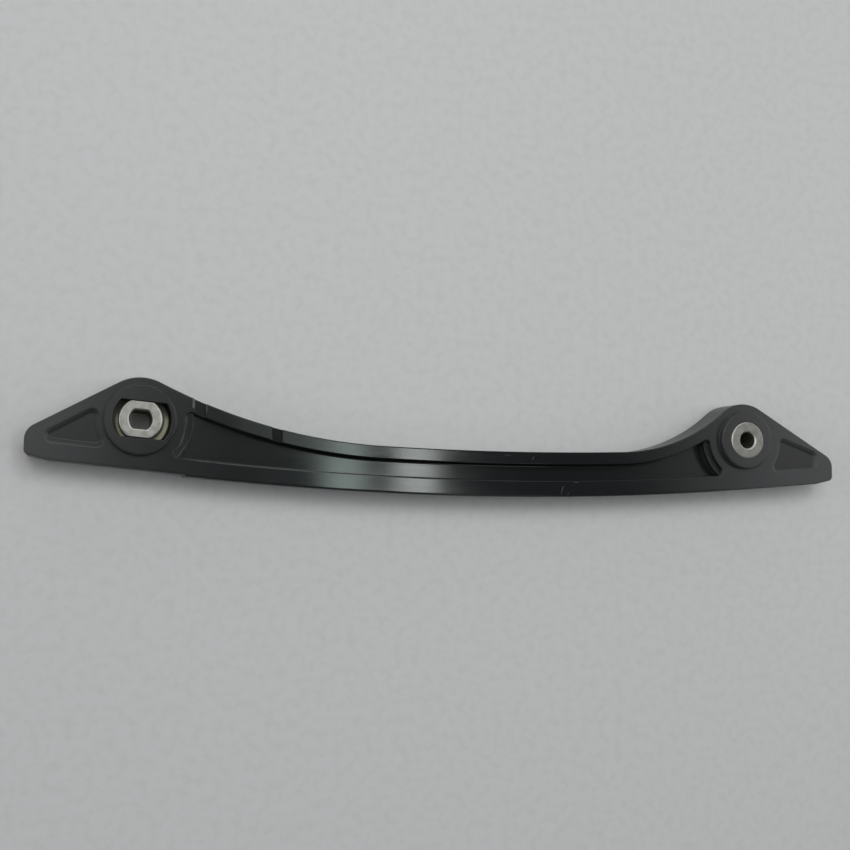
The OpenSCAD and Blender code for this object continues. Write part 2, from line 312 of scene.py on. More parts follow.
class Shape(Nodes):
    """A Geometry Nodes tree with named sizes."""

    def __init__(self, name: str, sizes: dict[str, float]) -> None:
        """Starts the tree.

        Args:
            name: The tree's name.
            sizes: Its named inputs, in metres.
        """
        super().__init__(bpy.data.node_groups.new(name, "GeometryNodeTree"))
        interface = self.tree.interface
        interface.new_socket("Geometry", in_out="INPUT", socket_type="NodeSocketGeometry")
        interface.new_socket("Geometry", in_out="OUTPUT", socket_type="NodeSocketGeometry")
        self.values: dict[str, float] = {}
        for label, value in sizes.items():
            socket = interface.new_socket(label, in_out="INPUT", socket_type="NodeSocketFloat")
            self.values[socket.identifier] = value
        self.inputs = self.tree.nodes.new("NodeGroupInput")

    def size(self, label: str) -> Value:
        """A named input."""
        return Value(self, self.inputs.outputs[label])

    def past(self, index: Value, number: int) -> Value:
        """1 where an index is past a number, and 0 elsewhere."""
        settings = {"data_type": "INT", "operation": "GREATER_THAN"}
        return self.node("FunctionNodeCompare", settings, {2: index, 3: number})

    def finish(self, geometry: Value, material: bpy.types.Material) -> None:
        """Realizes a geometry, gives it its material and makes it the tree's result.

        Args:
            geometry: The geometry.
            material: Its finish.
        """
        real = self.node("GeometryNodeRealizeInstances", {}, {"Geometry": geometry})
        dressed = self.node("GeometryNodeSetMaterial", {}, {"Geometry": real, "Material": material})
        self.feed(self.tree.nodes.new("NodeGroupOutput").inputs[0], dressed)

    def bake(self, piece: bpy.types.Object) -> None:
        """Runs the tree on a piece and keeps the result as its plain mesh.

        Args:
            piece: The piece.
        """
        modifier = piece.modifiers.new(self.tree.name, "NODES")
        modifier.node_group = self.tree
        for identifier, value in self.values.items():
            modifier[identifier] = value
        apply_modifiers(piece)


@dataclass(frozen=True)
class PaleMark:
    """A faint pale mark on the moulding's front, part of a ring, in millimetres and degrees; most are worn
    scratches, some painted highlights.
    """

    centre: Pair
    radius: float
    middle: float
    reach: float
    width: float


@dataclass(frozen=True)
class MouldedNylon:
    """Black glass-filled nylon: satin heads that pale towards their tips, and a smooth rail."""

    name: str = "moulded_nylon"
    colour: Triple = (0.0110, 0.0114, 0.0122)
    pale: Triple = (0.0700, 0.0712, 0.0730)
    # Colour of the worn scratches and of the painted highlights at the first notch
    mark_colour: Triple = (0.120, 0.122, 0.126)
    # Painted shade for the groove beside the round head and for the notch floors
    hollow_shade: Triple = (0.0030, 0.0030, 0.0034)

    # Roughness of the regions, and what noise and the pale marks add to it
    rail_roughness: float = 0.095
    upper_roughness: float = 0.185
    head_roughness: float = 0.245
    groove_roughness: float = 0.33
    edge_roughness: float = 0.42
    mottle_roughness: float = 0.05
    streak_roughness: float = 0.05
    mark_roughness: float = 0.3

    # Shares of the pale colour and of the satin
    slide_tip_share: float = 0.60
    round_tip_share: float = 0.67
    sunk_share: float = 0.85
    # Share of the pale colour painted on the heads' walls as light
    wall_share: float = 0.5
    # Share of the pale colour in the highlight painted along the lower flange's inner rim
    rim_highlight_share: float = 0.7
    mottle_least: float = 0.85
    mottle_span: float = 0.3
    flank_gloss: float = 0.2

    # Stretches along the bolt line over which a region comes or goes, in metres
    slide_head: Pair = (-0.182, -0.262)
    round_head: Pair = (-0.095, -0.004)
    slide_tip: Pair = (-0.246, -0.290)
    round_tip: Pair = (-0.045, 0.040)
    groove_start: Pair = (-0.030, -0.026)
    groove_end: Pair = (-0.006, -0.009)
    notch_end: Pair = (-0.190, -0.195)
    upper_start: Pair = (-0.224, -0.210)
    upper_end: Pair = (-0.170, -0.200)
    rim_highlight_start: Pair = (-0.238, -0.228)
    rim_highlight_end: Pair = (-0.030, -0.150)

    # The bow's centre, distances from it and the lower flange's height, in metres
    bow_centre: Pair = (-0.113, 1.3244)
    groove_top: Pair = (1.3225, 1.3240)
    groove_foot: Pair = (1.3440, 1.3430)
    upper_flange: Pair = (1.3425, 1.3405)
    lower_flange: float = 0.0065

    # Depths below the nearer face, and the painted rim highlight's reach, in millimetres
    wall_top: Pair = (-2.3, -2.2)
    mark_depth: Pair = (0.2, 0.5)
    face_depth: Pair = (0.5, 1.0)
    sunk: Pair = (0.2, 1.1)
    groove: Pair = (0.7, 0.9)
    groove_floor: Pair = (1.9, 2.0)
    notch: Pair = (1.4, 1.5)
    notch_floor: Pair = (1.70, 1.75)
    rim_highlight_reach: Pair = (0.15, 0.55)

    # Upright part of a normal, from walls to level faces and from edges to flats
    level: Pair = (0.6, 0.97)
    edge: Pair = (0.985, 0.999)

    # Noise: features per metre, lengths and depths in metres, and the rail's share of the grain
    mottle_scale: float = 57.0
    mottle_detail: float = 3.0
    streak_length: float = 0.09
    streak_width: float = 0.0007
    streak_depth: float = 0.000004
    grain: float = 0.00045
    grain_depth: float = 0.000012
    rail_grain: float = 0.2

    # Solid shares of a pale mark's width and length, and the grain that breaks it up
    mark_core: float = 0.4
    mark_body: float = 0.6
    mark_grain: Pair = (0.30, 0.55)
    pale_marks: tuple[PaleMark, ...] = (
        PaleMark(centre=(-79.6, -24.2), radius=4.9, middle=157.0, reach=26.0, width=0.30),
        PaleMark(centre=(-79.0, -25.6), radius=3.0, middle=150.0, reach=16.0, width=0.16),
        PaleMark(centre=(-77.9, -29.0), radius=9.6, middle=90.0, reach=7.0, width=0.24),
        PaleMark(centre=(-92.6, -12.4), radius=4.9, middle=150.0, reach=13.0, width=0.18),
        PaleMark(centre=(-107.4, -19.0), radius=10.0, middle=91.0, reach=8.0, width=0.14),
        # The last two marks are painted highlights along the edges of the first notch
        PaleMark(centre=(-291.2, 7.0), radius=60.0, middle=0.0, reach=2.2, width=1.0),
        PaleMark(centre=(-286.6, 5.6), radius=60.0, middle=0.0, reach=2.2, width=0.9),
    )

    def material(self) -> bpy.types.Material:
        """The finish as a material.

        Returns:
            A procedural material in the part's own coordinates.
        """
        made = bpy.data.materials.new(self.name)
        graph = Graph(made)
        place = graph.place()
        x, y, z = graph.axes(place)
        flat = graph.point(x, y, 0.0)
        radius = graph.distance(flat, (*self.bow_centre, 0.0))
        below = RAIL_DEPTH / 2 - (z - RAIL_DEPTH / 2).magnitude()
        slope = graph.slope()
        level = graph.ease(slope, *self.level)
        heads = graph.ease(x, *self.slide_head).larger(graph.ease(x, *self.round_head))
        groove = self.groove_mask(graph, x, radius, below)
        mottle = graph.noise(place, self.mottle_scale, self.mottle_detail)
        streaks = self.streaks(graph, x, radius, z)
        grain = graph.noise(place, 1.0 / self.grain)
        # Worn scratches, and painted highlights along the first notch's edges
        pale_marks = self.pale_mark_mask(graph, flat, below, grain)

        tips = graph.ease(x, *self.slide_tip, 0.0, self.slide_tip_share)
        tips = tips.larger(graph.ease(x, *self.round_tip, 0.0, self.round_tip_share))
        sunk = graph.ease(below, *metres(self.sunk)) * level
        # The heads' walls get part of the pale colour: painted light that lifts their shade
        flank = graph.ease(below, *metres(self.wall_top)) * heads * (1 - level) * (1 - groove)
        paleness = tips * (1 - sunk * self.sunk_share) * (1 - groove) + flank * self.wall_share
        # A highlight painted along the lower flange's inner rim
        rim_highlight = self.rim_mask(graph, x, radius, below) * self.rim_highlight_share
        paleness = (paleness * (self.mottle_least + mottle * self.mottle_span)).larger(rim_highlight)
        # The groove and the notch floors are painted with shade
        hollow = groove.larger(self.notch_mask(graph, x, below) * level)
        colour = graph.tint(hollow, graph.tint(paleness, self.colour, self.pale), self.hollow_shade)

        satin = heads * (1 - (1 - level) * self.flank_gloss)
        edge = graph.fade(slope, *self.edge) * heads
        upper = self.upper_mask(graph, x, radius, below)
        rail = self.rail_roughness + upper * (self.upper_roughness - self.rail_roughness)
        roughness = rail + satin * (self.head_roughness - rail)
        roughness = roughness + groove * (self.groove_roughness - self.head_roughness)
        roughness = roughness + edge * (1 - groove) * (self.edge_roughness - self.head_roughness)
        roughness = roughness + (mottle - MEAN_NOISE) * self.mottle_roughness
        roughness = roughness + (streaks - MEAN_NOISE) * (1 - heads) * self.streak_roughness
        roughness = roughness + pale_marks * self.mark_roughness

        height = grain * (satin * (1 - self.rail_grain) + self.rail_grain)
        height = height + streaks * (1 - heads) * (self.streak_depth / self.grain_depth)
        graph.set(
            base_color=graph.tint(pale_marks, colour, self.mark_colour),
            roughness=roughness,
            normal=graph.bump(height, self.grain_depth),
        )
        return made

    def groove_mask(self, graph: Graph, x: Value, radius: Value, below: Value) -> Value:
        """Where the groove beside the round head and its rib get painted shade and a rougher finish.

        Args:
            graph: The material's graph.
            x: Coordinate along the bolt line.
            radius: Distance from the bow's centre.
            below: Depth below the nearer face.

        Returns:
            A mask from 0 to 1.
        """
        depths = graph.ease(below, *metres(self.groove)) * graph.fade(below, *metres(self.groove_floor))
        across = graph.ease(radius, *self.groove_top) * graph.ease(radius, *self.groove_foot)
        return depths * across * graph.ease(x, *self.groove_start) * graph.ease(x, *self.groove_end)

    def notch_mask(self, graph: Graph, x: Value, below: Value) -> Value:
        """Where the notches in the upper flange have their floors, which get painted shade.

        Args:
            graph: The material's graph.
            x: Coordinate along the bolt line.
            below: Depth below the nearer face.

        Returns:
            A mask from 0 to 1.
        """
        depths = graph.ease(below, *metres(self.notch)) * graph.fade(below, *metres(self.notch_floor))
        return depths * graph.ease(x, *self.notch_end)

    def upper_mask(self, graph: Graph, x: Value, radius: Value, below: Value) -> Value:
        """Where the face of the upper flange beside the slide head is less smooth.

        Args:
            graph: The material's graph.
            x: Coordinate along the bolt line.
            radius: Distance from the bow's centre.
            below: Depth below the nearer face.

        Returns:
            A mask from 0 to 1.
        """
        flange = graph.ease(radius, *self.upper_flange) * graph.fade(below, *metres(self.face_depth))
        return flange * graph.ease(x, *self.upper_start) * graph.ease(x, *self.upper_end)

    def rim_mask(self, graph: Graph, x: Value, radius: Value, below: Value) -> Value:
        """Where a highlight is painted along the inner rim of the lower flange.

        Args:
            graph: The material's graph.
            x: Coordinate along the bolt line.
            radius: Distance from the bow's centre.
            below: Depth below the nearer face.

        Returns:
            A mask from 0 to 1.
        """
        rim = self.bow_centre[1] - RUNNING_FACE.y - self.lower_flange
        near = graph.fade((radius - rim).magnitude(), *metres(self.rim_highlight_reach))
        stretch = graph.ease(x, *self.rim_highlight_start) * graph.ease(x, *self.rim_highlight_end)
        return near * graph.fade(below, *metres(self.face_depth)) * stretch

    def streaks(self, graph: Graph, x: Value, radius: Value, z: Value) -> Value:
        """Fine polishing lines that follow the bow.

        Args:
            graph: The material's graph.
            x: Coordinate along the bolt line.
            radius: Distance from the bow's centre.
            z: Coordinate along the bolts.

        Returns:
            Noise drawn out along the bow.
        """
        drawn = graph.point(x / self.streak_length, radius / self.streak_width, z / self.streak_width)
        return graph.noise(drawn, 1.0)

    def pale_mark_mask(self, graph: Graph, flat: Value, below: Value, grain: Value) -> Value:
        """Where the pale marks lie, broken up by the grain: worn scratches, and painted highlights at the
        first notch.

        Args:
            graph: The material's graph.
            flat: Place in plan.
            below: Depth below the nearer face.
            grain: Noise that breaks the marks up.

        Returns:
            A mask from 0 to 1.
        """
        face = graph.fade(below, *metres(self.mark_depth))
        total: Any = 0.0
        for pale_mark in self.pale_marks:
            total = self.mark(graph, flat, pale_mark) + total
        return total * face * graph.ease(grain, *self.mark_grain)

    def mark(self, graph: Graph, flat: Value, pale_mark: PaleMark) -> Value:
        """One pale mark, faded at its sides and ends.

        Args:
            graph: The material's graph.
            flat: Place in plan.
            pale_mark: The mark.

        Returns:
            A mask from 0 to 1.
        """
        centre = metres((*pale_mark.centre, 0.0))
        middle = math.radians(pale_mark.middle)
        ring = Vector((math.cos(middle), math.sin(middle), 0.0)) * pale_mark.radius * MM
        off_ring = (graph.distance(flat, tuple(centre)) - pale_mark.radius * MM).magnitude()
        along = graph.distance(flat, tuple(centre + ring))
        half = pale_mark.width * MM / 2
        chord = 2 * pale_mark.radius * MM * math.sin(math.radians(pale_mark.reach) / 2)
        sides = graph.fade(off_ring, half * self.mark_core, half)
        return sides * graph.fade(along, chord * self.mark_body, chord)


@dataclass(frozen=True)
class TurnedSteel:
    """Turned and tumbled bush steel, with rings about one bolt axis."""

    name: str
    axis: Vector
    colour: Triple = (0.35, 0.337, 0.318)
    dull: Triple = (0.28, 0.268, 0.250)
    # Painted lit colour of the shoulder, and its painted shade
    lit_shoulder: Triple = (0.72, 0.70, 0.56)
    shaded: Triple = (0.20, 0.195, 0.16)
    # Colour of the painted highlights on the chamfers and rims
    edge: Triple = (0.82, 0.80, 0.76)

    # Roughness of clean steel and of the low steel with painted light and shade, and what noise adds to it
    roughness: float = 0.46
    shoulder_roughness: float = 0.80
    cloud_roughness: float = 0.22
    ring_roughness: float = 0.10

    # Radius and half width of a flatted hole in millimetres, and its turn in degrees
    hole: Pair | None = None
    flat_turn: float = 0.0

    # Heights above the back over which the steel goes over to painted light and shade, in millimetres
    shoulder_light_and_shade: Pair = (15.5, 12.0)

    # The painted lit ring on the shoulder, about a shifted axis, and where it goes over to painted shade,
    # in millimetres
    lit_shift: float = 1.15
    lit_from: Pair = (7.4, 7.9)
    lit_past: Pair = (9.5, 10.0)
    lit_side: Pair = (-0.5, 3.5)

    # Rims painted with a one-sided highlight and the sides that they lie on, in millimetres
    hole_rim: Pair = (0.30, 0.65)
    hole_side: Pair = (-1.5, 2.0)
    neck_rim: Pair = (7.0, 7.4)
    neck_side: Pair = (2.5, 5.5)
    neck_lean: float = 0.5

    # Upright part of a normal on level faces and on chamfers
    level: Pair = (0.5, 0.95)
    chamfer_from: Pair = (0.35, 0.6)
    chamfer_past: Pair = (0.85, 0.97)

    # Noise: features per metre, lengths and depths in metres, and the rings' share of the bump
    cloud_scale: float = 420.0
    cloud_detail: float = 3.0
    cloud_range: Pair = (0.35, 0.7)
    ring_pitch: float = 0.00022
    ring_detail: float = 1.0
    ring_depth: float = 0.000006
    ring_share: float = 0.7

    def material(self) -> bpy.types.Material:
        """The finish as a material.

        Returns:
            A procedural material in the part's own coordinates.
        """
        made = bpy.data.materials.new(self.name)
        graph = Graph(made)
        place = graph.place()
        x, y, z = graph.axes(place)
        flat = graph.point(x, y, 0.0)
        radius = graph.distance(flat, (self.axis.x, self.axis.y, 0.0))
        along, up = x - self.axis.x, y - self.axis.y
        turned = graph.point(radius / self.ring_pitch, z / self.ring_pitch, 0.0)
        rings = graph.noise(turned, 1.0, self.ring_detail)
        cloud = graph.noise(place, self.cloud_scale, self.cloud_detail)
        slope = graph.slope()

        # Chamfers, and one side of the hole and neck rims, take the brighter edge colour: painted
        # highlights
        bright_edges = graph.ease(slope, *self.chamfer_from) * graph.fade(slope, *self.chamfer_past)
        if self.hole is not None:
            bright_edges = bright_edges.larger(self.rim_glint_mask(graph, self.hole, along, up, radius))
        bright = graph.tint(graph.ease(cloud, *self.cloud_range), self.colour, self.dull)
        bright = graph.tint(bright_edges, bright, self.edge)

        # A lit ring painted on the shoulder's level faces, fading to painted shade towards +Y
        off = graph.distance(flat, (self.axis.x + self.lit_shift * MM, self.axis.y, 0.0))
        lit = graph.ease(slope, *self.level) * graph.fade(up, *metres(self.lit_side))
        lit = lit * graph.ease(off, *metres(self.lit_from)) * graph.fade(off, *metres(self.lit_past))
        dark = graph.tint(lit, self.shaded, self.lit_shoulder)

        # Low down, the steel takes the painted light and shade in place of its own colour
        shoulder_light_and_shade = graph.ease(z, *metres(self.shoulder_light_and_shade))
        roughness = self.roughness + shoulder_light_and_shade * (self.shoulder_roughness - self.roughness)
        roughness = roughness + (cloud - MEAN_NOISE) * self.cloud_roughness
        roughness = roughness + (rings - MEAN_NOISE) * self.ring_roughness
        height = rings * self.ring_share + cloud * (1 - self.ring_share)
        graph.set(
            base_color=graph.tint(shoulder_light_and_shade, bright, dark),
            metallic=1.0,
            roughness=roughness,
            normal=graph.bump(height, self.ring_depth),
        )
        return made

    def rim_glint_mask(self, graph: Graph, hole: Pair, along: Value, up: Value, radius: Value) -> Value:
        """Where highlights are painted on one side of the rims of a flatted hole and of the neck about it.

        Args:
            graph: The material's graph.
            hole: Radius and half width of the hole, in millimetres.
            along: Distance from the bolt axis along the bolt line.
            up: Distance from it across the bolt line.
            radius: Distance from the bolt axis.

        Returns:
            A mask from 0 to 1.
        """
        turn = math.radians(self.flat_turn)
        across = (up * math.cos(turn) - along * math.sin(turn)).magnitude()
        off_hole = (radius - hole[0] * MM).larger(across - hole[1] * MM)
        hole_rim = graph.fade(off_hole, *metres(self.hole_rim))
        hole_rim = hole_rim * graph.ease(0.0 - along - up, *metres(self.hole_side))
        neck_rim = graph.ease(radius, *metres(self.neck_rim))
        neck_rim = neck_rim * graph.ease(along + up * self.neck_lean, *metres(self.neck_side))
        return hole_rim.larger(neck_rim)


@dataclass(frozen=True)
class TableTop:
    """A plain pale table with a faint sheen and fine specks."""

    name: str = "table_top"
    colour: Triple = (0.735, 0.727, 0.735)
    speck: Triple = (0.695, 0.688, 0.688)
    speck_scale: float = 260.0
    speck_detail: float = 3.0
    speck_range: Pair = (0.4, 0.75)
    roughness: float = 0.50

    def material(self) -> bpy.types.Material:
        """The finish as a material.

        Returns:
            A procedural material.
        """
        made = bpy.data.materials.new(self.name)
        graph = Graph(made)
        fine = graph.noise(graph.place(), self.speck_scale, self.speck_detail)
        specks = graph.ease(fine, *self.speck_range)
        graph.set(base_color=graph.tint(specks, self.colour, self.speck), roughness=self.roughness)
        return made


def merged_copy(node: str) -> bmesh.types.BMesh:
    """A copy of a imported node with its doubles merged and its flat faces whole.

    Args:
        node: The node's name.

    Returns:
        The copy, for the caller to finish and free.
    """
    copy = bmesh.new()
    copy.from_mesh(frame["nodes"][node].data)
    bmesh.ops.remove_doubles(copy, verts=copy.verts, dist=SAME_POINT * MM)
    bmesh.ops.dissolve_limit(copy, angle_limit=math.radians(FLAT_ANGLE), verts=copy.verts, edges=copy.edges)
    return copy


def freed_mesh(copy: bmesh.types.BMesh, name: str) -> bpy.types.Mesh:
    """Turns a working copy into a mesh and frees it.

    Args:
        copy: The working copy.
        name: The mesh's name.

    Returns:
        The mesh.
    """
    mesh = bpy.data.meshes.new(name)
    copy.to_mesh(mesh)
    copy.free()
    return mesh


def add_piece(name: str, mesh: bpy.types.Mesh, material: bpy.types.Material) -> bpy.types.Object:
    """Links a mesh to the scene as a piece with one material.

    Args:
        name: The piece's name.
        mesh: Its mesh, in the part's frame.
        material: Its finish.

    Returns:
        The new object.
    """
    mesh.name = name
    mesh.materials.clear()
    mesh.materials.append(material)
    piece = bpy.data.objects.new(name, mesh)
    bpy.context.scene.collection.objects.link(piece)
    return piece


def apply_modifiers(piece: bpy.types.Object) -> None:
    """Puts the result of a piece's modifiers into its mesh and removes them.

    Args:
        piece: The piece.
    """
    graph = bpy.context.evaluated_depsgraph_get()
    mesh = bpy.data.meshes.new_from_object(piece.evaluated_get(graph), depsgraph=graph)
    piece.modifiers.clear()
    old = piece.data
    piece.data = mesh
    bpy.data.meshes.remove(old)
    mesh.name = piece.name


def even_shading(piece: bpy.types.Object, sharp_angle: float) -> None:
    """Shades a piece smoothly, apart from its sharp edges.

    Args:
        piece: The piece.
        sharp_angle: Angle over which an edge is sharp, in degrees.
    """
    piece.data.shade_smooth()
    piece.data.set_sharp_from_angle(angle=math.radians(sharp_angle))
    normals = piece.modifiers.new("even_normals", "WEIGHTED_NORMAL")
    normals.mode = "FACE_AREA"
    normals.weight = AREA_WEIGHT
    normals.keep_sharp = True
    apply_modifiers(piece)


def border_flats(piece: bpy.types.Object, border: float, least: float) -> None:
    """Gives a piece's level faces a narrow border, so that no rounding bends their shading.

    Args:
        piece: A piece with its edges rounded.
        border: Width of the border, in millimetres.
        least: Mean width of the narrowest face that gets one, in millimetres.
    """
    copy = bmesh.new()
    copy.from_mesh(piece.data)
    level = [face for face in copy.faces if abs(face.normal.z) > LEVEL]
    flats = [face for face in level if 2 * face.calc_area() > least * MM * face.calc_perimeter()]
    bmesh.ops.inset_individual(copy, faces=flats, thickness=border * MM, use_even_offset=False)
    copy.to_mesh(piece.data)
    copy.free()


def round_edges(piece: bpy.types.Object, width: float, segments: int) -> None:
    """Rounds the weighted edges of a piece.

    Args:
        piece: A piece whose edges carry bevel weights.
        width: Width of the rounding at a weight of 1, in millimetres.
        segments: Faces across a rounding.
    """
    bevel = piece.modifiers.new("edge_rounds", "BEVEL")
    bevel.limit_method = "WEIGHT"
    bevel.offset_type = "OFFSET"
    bevel.width = width * MM
    bevel.segments = segments
    bevel.use_clamp_overlap = False
    bevel.loop_slide = False
    bevel.miter_outer = "MITER_ARC"
    apply_modifiers(piece)


@dataclass
class GuideRail:
    """The moulding: rail, heads and bosses in one piece, with rounded edges."""

    node: str = "guide_rail"
    name: str = "rail_moulding"
    slot: str = "black_moulding"
    finish: MouldedNylon = field(default_factory=MouldedNylon)

    # Roundings of the kinds of edge, in millimetres, and faces across each
    face_rim: float = 0.45
    running_rim: float = 0.8
    web_rim: float = 0.4
    notch_edge: float = 0.2
    web_foot: float = 1.0
    foot: float = 0.4
    pocket_foot: float = 0.5
    boss_edge: float = 0.25
    boss_foot: float = 0.2
    upright_edge: float = 0.2
    rib_edge: float = 0.15
    segments: int = 3

    # Places along the bolt line, in millimetres
    running_start: float = -233.6
    running_end: float = -8.0
    web_start: float = -212.0
    web_end: float = -38.0
    worn_notch: float = -215.0

    # Heights of walls and the slack in a height, in millimetres
    notch_depth: float = 1.6
    low_wall: float = 2.0
    level_slack: float = 0.1

    # Parts of a wall's normal along each axis
    squareness: float = 0.999
    leaning: float = 0.3
    facing: float = 0.7

    # Angles between faces from which an edge is rounded or stays a crease, in degrees
    sharp_angle: float = 25.0
    crease_angle: float = 50.0

    # Border of the level faces and the least width of such a face, in millimetres
    border: float = 0.02
    flat_width: float = 2.0

    @property
    def widths(self) -> dict[EdgeKind, float]:
        """The rounding of each kind of edge.

        Returns:
            Widths in millimetres, by kind.
        """
        return {
            EdgeKind.PLAIN: 0.0,
            EdgeKind.UPRIGHT: self.upright_edge,
            EdgeKind.RIB: self.rib_edge,
            EdgeKind.BOSS: self.boss_edge,
            EdgeKind.BOSS_FOOT: self.boss_foot,
            EdgeKind.FACE_RIM: self.face_rim,
            EdgeKind.RUNNING_RIM: self.running_rim,
            EdgeKind.WEB_RIM: self.web_rim,
            EdgeKind.NOTCH: self.notch_edge,
            EdgeKind.FOOT: self.foot,
            EdgeKind.WEB_FOOT: self.web_foot,
            EdgeKind.POCKET_FOOT: self.pocket_foot,
        }

    def build(self) -> bpy.types.Object:
        """Makes the moulding with rounded edges.

        Returns:
            The piece.
        """
        copy = merged_copy(self.node)
        weights = copy.edges.layers.float.new(BEVEL_WEIGHT)
        widths = self.widths
        widest = max(widths.values())
        for edge in copy.edges:
            edge[weights] = widths[self.kind(edge)] / widest
        piece = add_piece(self.name, freed_mesh(copy, self.name), self.finish.material())
        round_edges(piece, widest, self.segments)
        border_flats(piece, self.border, self.flat_width)
        even_shading(piece, self.crease_angle)
        return piece

    def kind(self, edge: bmesh.types.BMEdge) -> EdgeKind:
        """Tells what an edge is.

        Args:
            edge: An edge of the plain moulding.

        Returns:
            Its kind, PLAIN where it stays as it is.
        """
        if len(edge.link_faces) != 2:
            return EdgeKind.PLAIN
        angle = edge.calc_face_angle_signed(0.0)
        if abs(angle) < math.radians(self.sharp_angle):
            return EdgeKind.PLAIN
        ends = [vert.co / MM for vert in edge.verts]
        middle = (ends[0] + ends[1]) / 2
        upright = abs(ends[0].z - ends[1].z) > self.level_slack
        wall = min(edge.link_faces, key=lambda face: abs(face.normal.z))
        if upright:
            return EdgeKind.UPRIGHT if angle > 0 else EdgeKind.PLAIN
        return self.rim_kind(middle, wall) if angle > 0 else self.foot_kind(middle, wall)

    def rim_kind(self, middle: Vector, wall: bmesh.types.BMFace) -> EdgeKind:
        """Tells what a level outer edge is.

        Args:
            middle: The edge's middle, in millimetres.
            wall: The steeper of its faces.

        Returns:
            Its kind.
        """
        depth = RAIL_DEPTH / MM
        if middle.z > depth + self.level_slack:
            return EdgeKind.BOSS
        if self.level_slack < middle.z < depth - self.level_slack:
            return EdgeKind.RIB
        along = self.running_start < middle.x < self.running_end
        whole = self.height(wall) > depth - self.level_slack
        if along and whole and wall.normal.y < -self.facing:
            return EdgeKind.RUNNING_RIM
        if along and not whole and wall.normal.y > self.facing and self.height(wall) > self.low_wall:
            return EdgeKind.WEB_RIM
        square = abs(wall.normal.x) > self.squareness
        if square and abs(self.height(wall) - self.notch_depth) < self.level_slack:
            return EdgeKind.NOTCH if middle.x < self.worn_notch else EdgeKind.PLAIN
        return EdgeKind.FACE_RIM

    def foot_kind(self, middle: Vector, wall: bmesh.types.BMFace) -> EdgeKind:
        """Tells what a level hollow edge is.

        Args:
            middle: The edge's middle, in millimetres.
            wall: The steeper of its faces.

        Returns:
            Its kind, PLAIN at the low walls of ribs and notches.
        """
        depth = RAIL_DEPTH / MM
        heights = [vert.co.z / MM for vert in wall.verts]
        if abs(wall.normal.z) > self.leaning:
            return EdgeKind.POCKET_FOOT
        if min(heights) > depth - self.level_slack:
            return EdgeKind.BOSS_FOOT
        reaches_face = max(heights) > depth - self.level_slack or min(heights) < self.level_slack
        if not reaches_face or self.height(wall) < self.low_wall:
            return EdgeKind.PLAIN
        inner = self.web_start < middle.x < self.web_end
        return EdgeKind.WEB_FOOT if inner and wall.normal.y < -self.facing else EdgeKind.FOOT

    def height(self, wall: bmesh.types.BMFace) -> float:
        """How tall a wall is, in millimetres."""
        heights = [vert.co.z / MM for vert in wall.verts]
        return max(heights) - min(heights)

    def dress(self, piece: bpy.types.Object) -> None:
        """Seats the moulding on its body in place of its node.

        Args:
            piece: The moulding.
        """
        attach(piece, "rail")
        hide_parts(self.node)


@dataclass
class SlideBush:
    """The loose bush: a two-flat neck on a round shoulder, in millimetres and degrees."""

    node: str = "slide_bush"
    name: str = "slide_bush_steel"
    slot: str = "bush_steel"
    hole: Pair = (4.1, 3.35)
    flat_turn: float = -4.3
    edge_round: float = 0.25
    sharp_angle: float = 25.0
    crease_angle: float = 40.0
    segments: int = 3

    def build(self) -> bpy.types.Object:
        """Makes the bush with its edges broken.

        Returns:
            The piece.
        """
        copy = merged_copy(self.node)
        weights = copy.edges.layers.float.new(BEVEL_WEIGHT)
        for edge in copy.edges:
            sharp = len(edge.link_faces) == 2 and edge.calc_face_angle(0.0) > math.radians(self.sharp_angle)
            edge[weights] = 1.0 if sharp else 0.0
        finish = TurnedSteel(self.name, SLIDE_BOLT, hole=self.hole, flat_turn=self.flat_turn)
        piece = add_piece(self.name, freed_mesh(copy, self.name), finish.material())
        round_edges(piece, self.edge_round, self.segments)
        even_shading(piece, self.crease_angle)
        return piece

    def dress(self, piece: bpy.types.Object) -> None:
        """Seats the bush on its sliding body in place of its node.

        Args:
            piece: The bush.
        """
        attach(piece, "bush")
        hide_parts(self.node)


